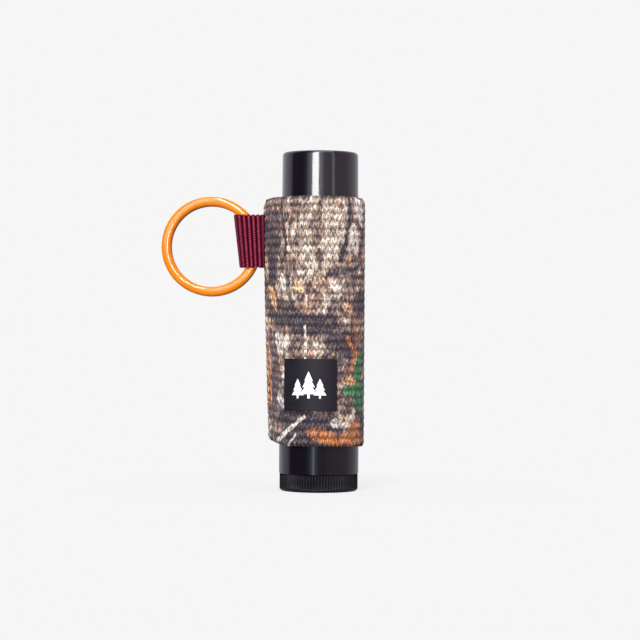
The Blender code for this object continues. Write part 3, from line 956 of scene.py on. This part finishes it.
def sleeve_rims(x, y):
    """Height of the knit's lower and upper rim, which curl and round off at the seam."""
    low = SLEEVE_LOW[2] + 0.3 + CORNER_RISE * np.clip((-6.0 - x) / 5.7, 0, 1) ** 1.25
    low = low + 0.15 * corner(x, 0.8) - 0.2 * smooth(x, 3.0, 9.0)
    high = SLEEVE_HIGH[2] + 0.10 - 0.15 * y / SLEEVE_RADIUS
    return low, high - CORNER_DROP * corner(x, CORNER_WIDE)


def slot_spread(x, height):
    """How far the ridge's tip opens where the webbing loop comes out of it."""
    in_slot = smooth(height, LOOP_LOW[2] - 0.6, LOOP_LOW[2])
    in_slot = in_slot * smooth(height, LOOP_HIGH[2] + 0.6, LOOP_HIGH[2])
    return 0.5 * in_slot * smooth(x, RIDGE_X + 1.0, RIDGE_X + 0.5)


def rim(first, second, steps):
    """Rows that round off the edge between two rows, from the (share, lift) of each."""
    return [mix(first, second, share) + (0, 0, lift) for share, lift in steps]


def make_sleeve(material):
    """Knitted elastic band: zigzag rows in relief, curled corners at the seam, rounded rims."""
    outside, inside, along = sleeve_outlines(round(SLEEVE_LENGTH / STITCH_PITCH) * STITCH_COLUMNS)
    count = len(outside)
    column = np.arange(count)
    zigzag = 1 - 2 * np.abs((column % STITCH_COLUMNS) / STITCH_COLUMNS - 0.5)
    rows = ROW_COUNT * ROW_SAMPLES + 1
    row = np.arange(rows)[:, None]
    level = row / (rows - 1)
    crest = np.sin(math.pi * (row % ROW_SAMPLES) / ROW_SAMPLES)
    crest = crest * (1 - 0.35 * np.abs(2 * zigzag - 1) ** 3)

    outline_x, outline_y = outside.T
    low, high = sleeve_rims(outline_x, outline_y)
    wave = STITCH_RISE * (zigzag - 0.5) * (0.65 + 0.35 * np.sin(math.pi * level) ** 0.3)
    height = low + (high - low) * level + wave
    reach = WEAVE_RELIEF * crest - 0.55 * smooth(level, 0.965, 1.005) ** 2
    reach = reach - 0.12 * smooth(level, 0.015, 0)
    normal_x, normal_y = outward(outside).T
    x = outline_x + normal_x * reach + ridge_lean(outline_x, height)
    side = np.sign(outline_y) * (np.abs(outline_y) < 0.35)
    y = outline_y + normal_y * reach + slot_spread(outline_x, height) * side
    outer = np.stack([x, y, height], axis=-1)

    wall = np.stack([inside[:, 0], inside[:, 1], 0 * along], axis=-1)
    inner = [
        wall + np.outer(low + 0.1 + (high - low - 0.2) * share, (0, 0, 1))
        for share in np.linspace(1, 0, 7)
    ]
    top_rim = rim(outer[-1], inner[0], ((0.3, 0.16), (0.7, 0.14)))
    low_rim = rim(inner[-1], outer[0], ((0.3, -0.14), (0.7, -0.16)))
    points = np.concatenate([outer, top_rim, inner, low_rim])

    front = along[np.argmin(outline_y)]
    colours = sleeve_colours(along - front, height, crest, column * 2 // STITCH_COLUMNS)
    tint = np.broadcast_to(BACKING, points.shape).copy()
    tint[:rows] = colours
    tint[rows:rows + 2] = colours[-1] * 0.8
    tint[-2:] = colours[0] * 0.8
    faces = grid_faces(len(points), count, closed_rows=True)
    sleeve = add_piece(
        "elastic_band", (points, faces), material, "sleeve",
        ["elastic_sleeve"], tint,
    )


def sleeve_colours(along, height, crest, leg):
    """The print as it takes on the knit: flecked stitches, with painted shade in the grooves
    between rows and a painted highlight on the row crests.
    """
    colours = camouflage(np.broadcast_to(along, height.shape), height)
    bright = smooth(colours.mean(axis=-1), 0.35, 0.75)
    row = np.arange(height.shape[0])[:, None]
    column = np.arange(height.shape[1])
    half_row = row * 2 // ROW_SAMPLES
    spread = mix(0.74, 0.36, bright)
    fleck = 1 - spread + 2 * spread * hashed(column, row, 37)
    light = (0.74 + 0.36 * hashed(leg, half_row, 7)) * fleck
    colours = colours * light[..., None]
    dark_stitch = (1 - 0.5 * bright) * (hashed(leg, half_row, 17) > 0.85)
    colours = mix(colours, SOOT, 0.7 * dark_stitch)
    pale_stitch = (hashed(leg, half_row, 27) > 0.88) * (hashed(column, row // 2, 47) > 0.3)
    colours = mix(colours, 1.3 * colours + 0.05, 0.7 * pale_stitch)
    # Pale specks on the row crests of dark print: partly undyed yarn, partly a painted highlight
    # on the crests.
    undyed_and_crest_highlight = (1 - bright) * smooth(crest, 0.3, 0.9) * (hashed(column, row, 57) > 0.7)
    colours = mix(colours, TAN, 0.28 * undyed_and_crest_highlight)
    # Painted shade and highlight: colours darken down into the grooves between rows, less where
    # the print is pale, and lift on the row crests.
    depth = mix(0.44, 0.68, bright)
    groove = depth + (1.12 - depth) * smooth(np.clip(crest, 0, 1), 0.25, 0.85)
    return np.clip(colours * groove[..., None], 0, 0.74)


def make_seam(material):
    """Lock stitch of two twisted threads in the gap between the tube and the ridge."""
    centre = (SEAM_LOW + SEAM_HIGH) / 2
    heights = np.arange(SEAM_LOW[2], SEAM_HIGH[2], 0.08)
    sway = 0.12 * np.sin(TURN * heights / SEAM_SWAY_PITCH)
    strands = []
    for start in (0, math.pi):
        turn = TURN * heights / SEAM_TWIST_PITCH + start
        x = centre[0] + SEAM_TWIST_RADIUS * np.cos(turn)
        y = centre[1] + sway + SEAM_TWIST_RADIUS * np.sin(turn)
        strands.append(np.column_stack([x, y, heights]))
    add_strands("seam_stitches", strands, 0.085, material, "sleeve", ["seam_thread"])


def curved_strand(start, direction, length, droop):
    """Loose fibre that sets off in a direction and bends as it goes."""
    share = np.linspace(0, 1, 6)[:, None]
    return np.array(start) + length * (share * direction + share**2 * droop)


def make_fray(material):
    """Cut fibres that stand out of the seam low on the ridge, and the thread's loose end."""
    random = np.random.default_rng(5)
    fibres = []
    for _ in range(150):
        height = SLEEVE_LOW[2] + 1.8 + 8.2 * random.random() ** 1.3
        x = RIDGE_X + ridge_lean(RIDGE_X, height) + 0.05
        start = (x, random.uniform(-0.5, 0.1), height)
        direction = drawn(random, (-1, -0.1), (-0.9, 0.1), (-0.8, 0.8))
        droop = drawn(random, (0, 0.7), (-0.3, 0.1), (-0.9, 0.5))
        fibres.append(curved_strand(start, direction, random.uniform(0.3, 0.7), droop))
    add_strands("seam_fray", fibres, 0.028, material, "sleeve")
    ends = []
    for _ in range(9):
        start = (RIDGE_X + RIDGE_LEAN + 0.35, random.uniform(-0.5, 0), SLEEVE_LOW[2] + 1.9)
        direction = drawn(random, (-0.8, -0.2), (-0.5, 0), (-0.7, 0))
        droop = drawn(random, (-0.2, 0.6), (-0.2, 0.1), (-0.5, 0.1))
        ends.append(curved_strand(start, direction, random.uniform(0.7, 1.1), droop))
    add_strands("thread_end", ends, 0.05, material, "sleeve")


# ---- patch

def add_on_front(name, mesh, material, radius, span, nodes=()):
    """Piece of flat work, cut into upright slices so that it can bend round the tube's front.

    In flat work x runs along the arc, within the span, and y is the height off it.
    """
    for x in np.arange(span[0] + SLICE, span[1], SLICE):
        parts = list(mesh.verts) + list(mesh.edges) + list(mesh.faces)
        bmesh.ops.bisect_plane(mesh, geom=parts, plane_co=(x, 0, 0), plane_no=(1, 0, 0))
    for vert in mesh.verts:
        angle = vert.co.x / radius
        away = radius + vert.co.y
        vert.co = Vector((away * math.sin(angle), -away * math.cos(angle), vert.co.z)) * MM
    add_mesh(bpy.data.meshes.new(name), mesh, material, "sleeve", nodes)


def flat_shape(outline, low, high):
    """Flat work of an outline in x and z, from one height off the surface to another."""
    mesh = bmesh.new()
    face = mesh.faces.new([mesh.verts.new((x, low, z)) for x, z in outline])
    raised = bmesh.ops.extrude_face_region(mesh, geom=[face])["geom"]
    moved = [part for part in raised if isinstance(part, bmesh.types.BMVert)]
    bmesh.ops.translate(mesh, verts=moved, vec=(0, high - low, 0))
    return mesh


def conifer(x, foot, height, width):
    """Outline of a simple fir tree of three tiers and a trunk, base centre at (x, foot)."""
    tiers = [(0.16, 0.50), (0.40, 0.38), (0.64, 0.26)]
    right = [(0.07, 0.0), (0.07, 0.16)]
    for rise, half in tiers:
        right += [(half, rise), (half * 0.40, rise + 0.28)]
    right[-1] = (0.0, 1.0)
    left = [(-u, v) for u, v in reversed(right[:-1])]
    return [(x + u * width, foot + v * height) for u, v in right + left]


def make_patch(label, ink):
    """Black satin label on the sleeve's front, with a plain mark of three fir trees."""
    radius = -PATCH_LOW[1] - 0.18
    left = radius * math.asin(PATCH_LOW[0] / radius)
    right = radius * math.asin(PATCH_HIGH[0] / radius)
    low = PATCH_LOW[2]
    high = PATCH_HIGH[2]
    mesh = flat_shape([(left, low), (right, low), (right, high), (left, high)], -0.2, 0.0)
    bmesh.ops.bevel(mesh, geom=list(mesh.edges), offset=0.07, segments=2, affect="EDGES")
    add_on_front("patch_label", mesh, label, radius, (left, right), ["patch"])

    middle = (left + right) / 2
    foot = (low + high) / 2 - TREES[1][1] / 2
    for index, (offset, height, width) in enumerate(TREES):
        outline = conifer(middle + offset, foot, height, width)
        mesh = flat_shape(outline, -0.03, 0.03 + 0.004 * index)
        add_on_front(f"patch_tree_{index + 1}", mesh, ink, radius, (middle - 4, middle + 4))


# ---- loop

# Webbing colours: a painted shade for the grooves between ribs, the base colour, and a painted
# highlight for the yarns on the rib crests.
WEBBING_GROOVE_SHADE = linear(30, 0, 14)
WEBBING = linear(80, 6, 29)
WEBBING_CREST_HIGHLIGHT = linear(178, 76, 99)


def loop_path(fold_x, count):
    """Middle line of the webbing in plan: front tail, round the fold, and back tail."""
    tail = LOOP_THICKNESS / 2 + 0.04
    side = [
        (LOOP_TAIL_END_X, tail),
        (LOOP_NECK_X + 0.2, tail),
        (LOOP_NECK_X - 0.02, tail + 0.42),
        (LOOP_NECK_X - 0.42, LOOP_HALF - 0.35),
        (LOOP_BEND_X + 0.5, LOOP_HALF - 0.04),
        (LOOP_BEND_X - 0.1, LOOP_HALF),
    ]
    fold = arc((fold_x + LOOP_HALF + LOOP_THICKNESS / 2 + 0.1, 0), LOOP_HALF, 90, 270, 24)
    front = [(x, -y) for x, y in reversed(side)]
    return evenly(np.vstack([side, fold, front])[::-1], count)[0]


def webbing_section(rows):
    """(share of the height, side) round the webbing's section: side 1 is out and -1 is in."""
    edge = np.cos(np.linspace(0, math.pi, 5)[1:-1])
    section = [(share, 1.0) for share in np.linspace(0, 1, rows)]
    section += [(1.0, side) for side in edge]
    section += [(share, -1.0) for share in np.linspace(1, 0, 16)]
    return section + [(0.0, -side) for side in edge]


def make_loop(material):
    """Grosgrain webbing folded round the ring: heavy ribs that lean with the fold."""
    low_z = LOOP_LOW[2] + 0.05
    high_z = LOOP_HIGH[2] - 0.25
    path = loop_path((LOOP_FOLD_LOW_X + LOOP_FOLD_HIGH_X) / 2, 200)
    length = np.linalg.norm(np.diff(path, axis=0), axis=1).sum()
    count = round(length / RIB_PITCH) * STATIONS_PER_RIB + 1
    low_path = loop_path(LOOP_FOLD_LOW_X, count)
    high_path = loop_path(LOOP_FOLD_HIGH_X, count)
    yarns = round((high_z - low_z) / YARN_PITCH)
    rib_index = np.arange(count) // STATIONS_PER_RIB
    rib = np.abs(np.sin(math.pi * np.arange(count) / STATIONS_PER_RIB)) ** 0.55

    points = []
    tint = []
    for share, side in webbing_section(yarns * ROWS_PER_YARN + 1):
        yarn = (0.5 + 0.5 * np.cos(TURN * (share * yarns + 0.5 * rib_index))) ** 1.5
        if side > 0.99:
            reach = LOOP_THICKNESS / 2 - 0.2 + (RIB_RELIEF + YARN_RELIEF * yarn) * rib
        else:
            reach = side * (LOOP_THICKNESS / 2 - 0.1 + 0.5 * RIB_RELIEF * rib)
        path = mix(low_path, high_path, share)
        plan = path - outward(path) * reach[:, None]
        scallop = SCALLOP * rib * (int(share > 0.99) - int(share < 0.01))
        points.append(np.column_stack([plan, low_z + (high_z - low_z) * share + scallop]))
        # Painted shade down the grooves between ribs, and painted highlights on the yarn bumps of
        # the rib crests.
        shade = mix(WEBBING_GROOVE_SHADE, WEBBING, smooth(rib, 0.45, 0.95)[:, None])
        fleck = hashed(rib_index, int(share * yarns), 9)
        glint = smooth(rib, 0.84, 1.0) * yarn * (0.6 + 0.4 * fleck)
        tint.append(mix(shade, WEBBING_CREST_HIGHLIGHT, 0.85 * glint))
    points = np.stack(points, axis=1)
    solid = (points, tube_faces(*points.shape[:2]))
    tint = np.stack(tint, axis=1)
    loop = add_piece(
        "webbing_loop", solid, material, None, ["ring_loop"], tint
    )
    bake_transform(loop)


# ---- ring

def flattened(wave):
    """A sine or cosine pushed out, which makes a circle into a rounded square."""
    return np.sign(wave) * np.abs(wave) ** WIRE_SQUARENESS


def make_ring(material):
    """Split ring: two turns of flattened, rounded wire that cross inside the loop."""
    angle = np.linspace(RING_START, RING_END, RING_STEPS + 1)[:, None]
    turn = np.radians(angle)
    share = smooth(angle, CROSS_START, CROSS_END)
    around = TURN * np.arange(RING_SIDES) / RING_SIDES
    ends = np.abs(np.linspace(-1, 1, RING_STEPS + 1))[:, None]
    taper = 1 - 0.25 * smooth(ends, 0.995, 1)
    slip = COIL_SLIP * share * np.cos(np.radians(angle - COIL_SLIP_ANGLE))
    reach = RING_RADIUS + slip + WIRE_WIDE * flattened(np.cos(around)) * taper
    depth = COIL_OFFSET * (2 * share - 1) + WIRE_DEEP * flattened(np.sin(around)) * taper
    x = RING_CENTRE[0] + reach * np.cos(turn)
    z = RING_CENTRE[2] + reach * np.sin(turn)
    solid = (np.stack([x, depth, z], axis=-1), tube_faces(RING_STEPS + 1, RING_SIDES))
    add_piece("wire_ring", solid, material, "ring", ["key_ring"])


# ---- stage, light and camera

def make_floor():
    """Pale floor that fades into the background away from a soft contact shadow."""
    material = bpy.data.materials.new("pale_floor")
    material.use_nodes = True
    tree = material.node_tree
    tree.nodes.remove(tree.nodes["Principled BSDF"])
    place = add(tree, "TexCoord").outputs["Object"]
    away = add(tree, "VectorMath", {0: place}, operation="LENGTH").outputs["Value"]
    fade = {0: away, 1: 0.012, 2: 0.06, 3: 0.16, 4: 0.0}
    share = add(tree, "MapRange", fade).outputs[0]
    glow = add(tree, "Emission", {"Color": (*grey(BACKGROUND), 1), "Strength": 1.0})
    matte = add(tree, "BsdfDiffuse", {"Color": (*grey(0.5), 1)})
    seen = add(tree, "MixShader", {0: share, 1: glow.outputs[0], 2: matte.outputs[0]})
    dim = add(tree, "BsdfDiffuse", {"Color": (*grey(0.07), 1)})
    both = by_ray(tree, dim.outputs[0], seen.outputs[0])
    tree.links.new(both, tree.nodes["Material Output"].inputs["Surface"])
    mesh = bmesh.new()
    bmesh.ops.create_circle(mesh, cap_ends=True, segments=96, radius=4.0)
    data = bpy.data.meshes.new("floor")
    mesh.to_mesh(data)
    mesh.free()
    data.materials.append(material)
    floor = new_object("floor", data)
    floor.visible_glossy = False


def make_world():
    """White all round for the camera. For the object it is white behind and darker in front."""
    world = bpy.data.worlds.new("studio")
    bpy.context.scene.world = world
    world.use_nodes = True
    tree = world.node_tree
    tree.nodes.clear()
    way = add(tree, "TexCoord").outputs["Generated"]
    parts = add(tree, "SeparateXYZ", {0: way}).outputs
    back = add(tree, "Math", {0: parts["Y"], 1: -1.0}, operation="MULTIPLY").outputs[0]
    azimuth = add(tree, "Math", {0: parts["X"], 1: back}, operation="ARCTAN2").outputs[0]
    turn = add(tree, "MapRange", {0: azimuth, 1: -math.pi, 2: math.pi}).outputs[0]
    # Azimuth from the camera's side, as a share of a turn: 0.5 is the camera, 0.25 the left
    walls = ramp(tree, turn, [
        (0, (1, 0.93, 1.02)),
        (0.13, (1.12, 1.02, 1.16)),
        (0.19, (1.02, 0.9, 1.1)),
        (0.225, (0.8, 0.68, 0.86)),
        (0.248, (0.06, 0.05, 0.09)),
        (0.35, (0.05, 0.05, 0.09)),
        (0.378, (0.22, 0.22, 0.28)),
        (0.404, (1.5, 1.55, 1.7)),
        (0.478, (3.2, 3.3, 3.6)),
        (0.51, (2.2, 2.25, 2.5)),
        (0.532, (0.8, 0.82, 0.95)),
        (0.6, (0.76, 0.62, 0.65)),
        (0.645, (0.7, 0.57, 0.64)),
        (0.74, (0.66, 0.58, 0.66)),
        (0.8, (0.88, 0.8, 0.9)),
        (1, (1, 0.93, 1.02)),
    ])
    # Below the horizon the front is dark but for a narrow streak
    low = ramp(tree, turn, [
        (0, (0.72, 0.66, 0.74)),
        (0.13, (0.84, 0.77, 0.88)),
        (0.19, (0.8, 0.72, 0.86)),
        (0.225, (0.66, 0.57, 0.7)),
        (0.248, (0.05, 0.04, 0.07)),
        (0.395, (0.05, 0.05, 0.09)),
        (0.425, (0.24, 0.28, 0.38)),
        (0.446, (0.74, 0.84, 1.02)),
        (0.457, (2.6, 2.9, 3.4)),
        (0.468, (0.74, 0.84, 1.02)),
        (0.492, (0.22, 0.26, 0.36)),
        (0.53, (0.17, 0.16, 0.22)),
        (0.6, (0.36, 0.29, 0.33)),
        (0.74, (0.42, 0.37, 0.43)),
        (0.8, (0.62, 0.56, 0.64)),
        (1, (0.72, 0.66, 0.74)),
    ])
    rise = add(tree, "MapRange", {0: parts["Z"], 1: -0.04, 2: -0.01}).outputs[0]
    around = blended(tree, rise, low, walls)
    lit = add(tree, "Background", {"Color": around, "Strength": 1.0})
    seen = add(tree, "Background", {"Color": (*grey(BACKGROUND), 1), "Strength": 1.0})
    both = by_ray(tree, lit.outputs[0], seen.outputs[0])
    add(tree, "OutputWorld", {"Surface": both})


def add_softbox(name, centre, size, radiance, target=(0, 0, 35.3)):
    """Rectangular area light of a radiance, its centre, size and target in millimetres."""
    light = bpy.data.lights.new(name, "AREA")
    light.shape = "RECTANGLE"
    light.size = size[0] * MM
    light.size_y = size[1] * MM
    light.energy = radiance * math.pi * light.size * light.size_y
    softbox = new_object(name, light)
    softbox.location = Vector(centre) * MM
    facing = Vector(target) * MM - softbox.location
    softbox.rotation_euler = facing.to_track_quat("-Z", "Y").to_euler()
    return softbox


def make_lights():
    """Tall key on the left, faint strip on the right, soft top light, and the ring's own strip."""
    add_softbox("key", (-155, -600, 420), (205, 700), 19, (0, 0, 420))
    add_softbox("strip", (400, -480, 300), (80, 600), 1.5, (0, 0, 300))
    add_softbox("top", (60, -150, 620), (420, 420), 2.4)
    glint = add_softbox("glint", (36, -600, 480), (84, 920), 98, (-22, 0, 480))
    glint.visible_diffuse = False
    ring_only = bpy.data.collections.new("lit_by_glint")
    ring_only.objects.link(bpy.data.objects["wire_ring"])
    glint.light_linking.receiver_collection = ring_only


def make_camera():
    """Long lens from the front, whose picture is VIEW_WIDTH wide at the tube."""
    data = bpy.data.cameras.new("camera")
    data.sensor_width = SENSOR
    data.lens = -CAMERA_PLACE[1] * SENSOR / VIEW_WIDTH
    data.dof.use_dof = False
    camera = new_object("camera", data)
    camera.location = Vector(CAMERA_PLACE) * MM
    camera.rotation_euler = (math.radians(90), math.radians(CAMERA_ROLL), 0)
    bpy.context.scene.camera = camera


def main():
    """Build every piece, then the stage, the light and the camera."""
    bpy.context.scene.view_settings.view_transform = "Standard"
    make_camera()
    gloss = gloss_black()
    matte = matte_black()
    thread = sewing_thread()
    make_cap(gloss)
    make_barrel(gloss)
    make_dial(matte)
    make_spindle(matte)
    make_balm(wax())
    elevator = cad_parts["elevator"]
    elevator.data.materials.clear()
    elevator.data.materials.append(natural_plastic())
    make_ring(orange_paint())
    make_sleeve(printed_elastic())
    make_seam(thread)
    make_fray(thread)
    make_patch(satin_black(), white_ink())
    make_loop(burgundy_webbing())
    make_floor()
    make_world()
    make_lights()


main()
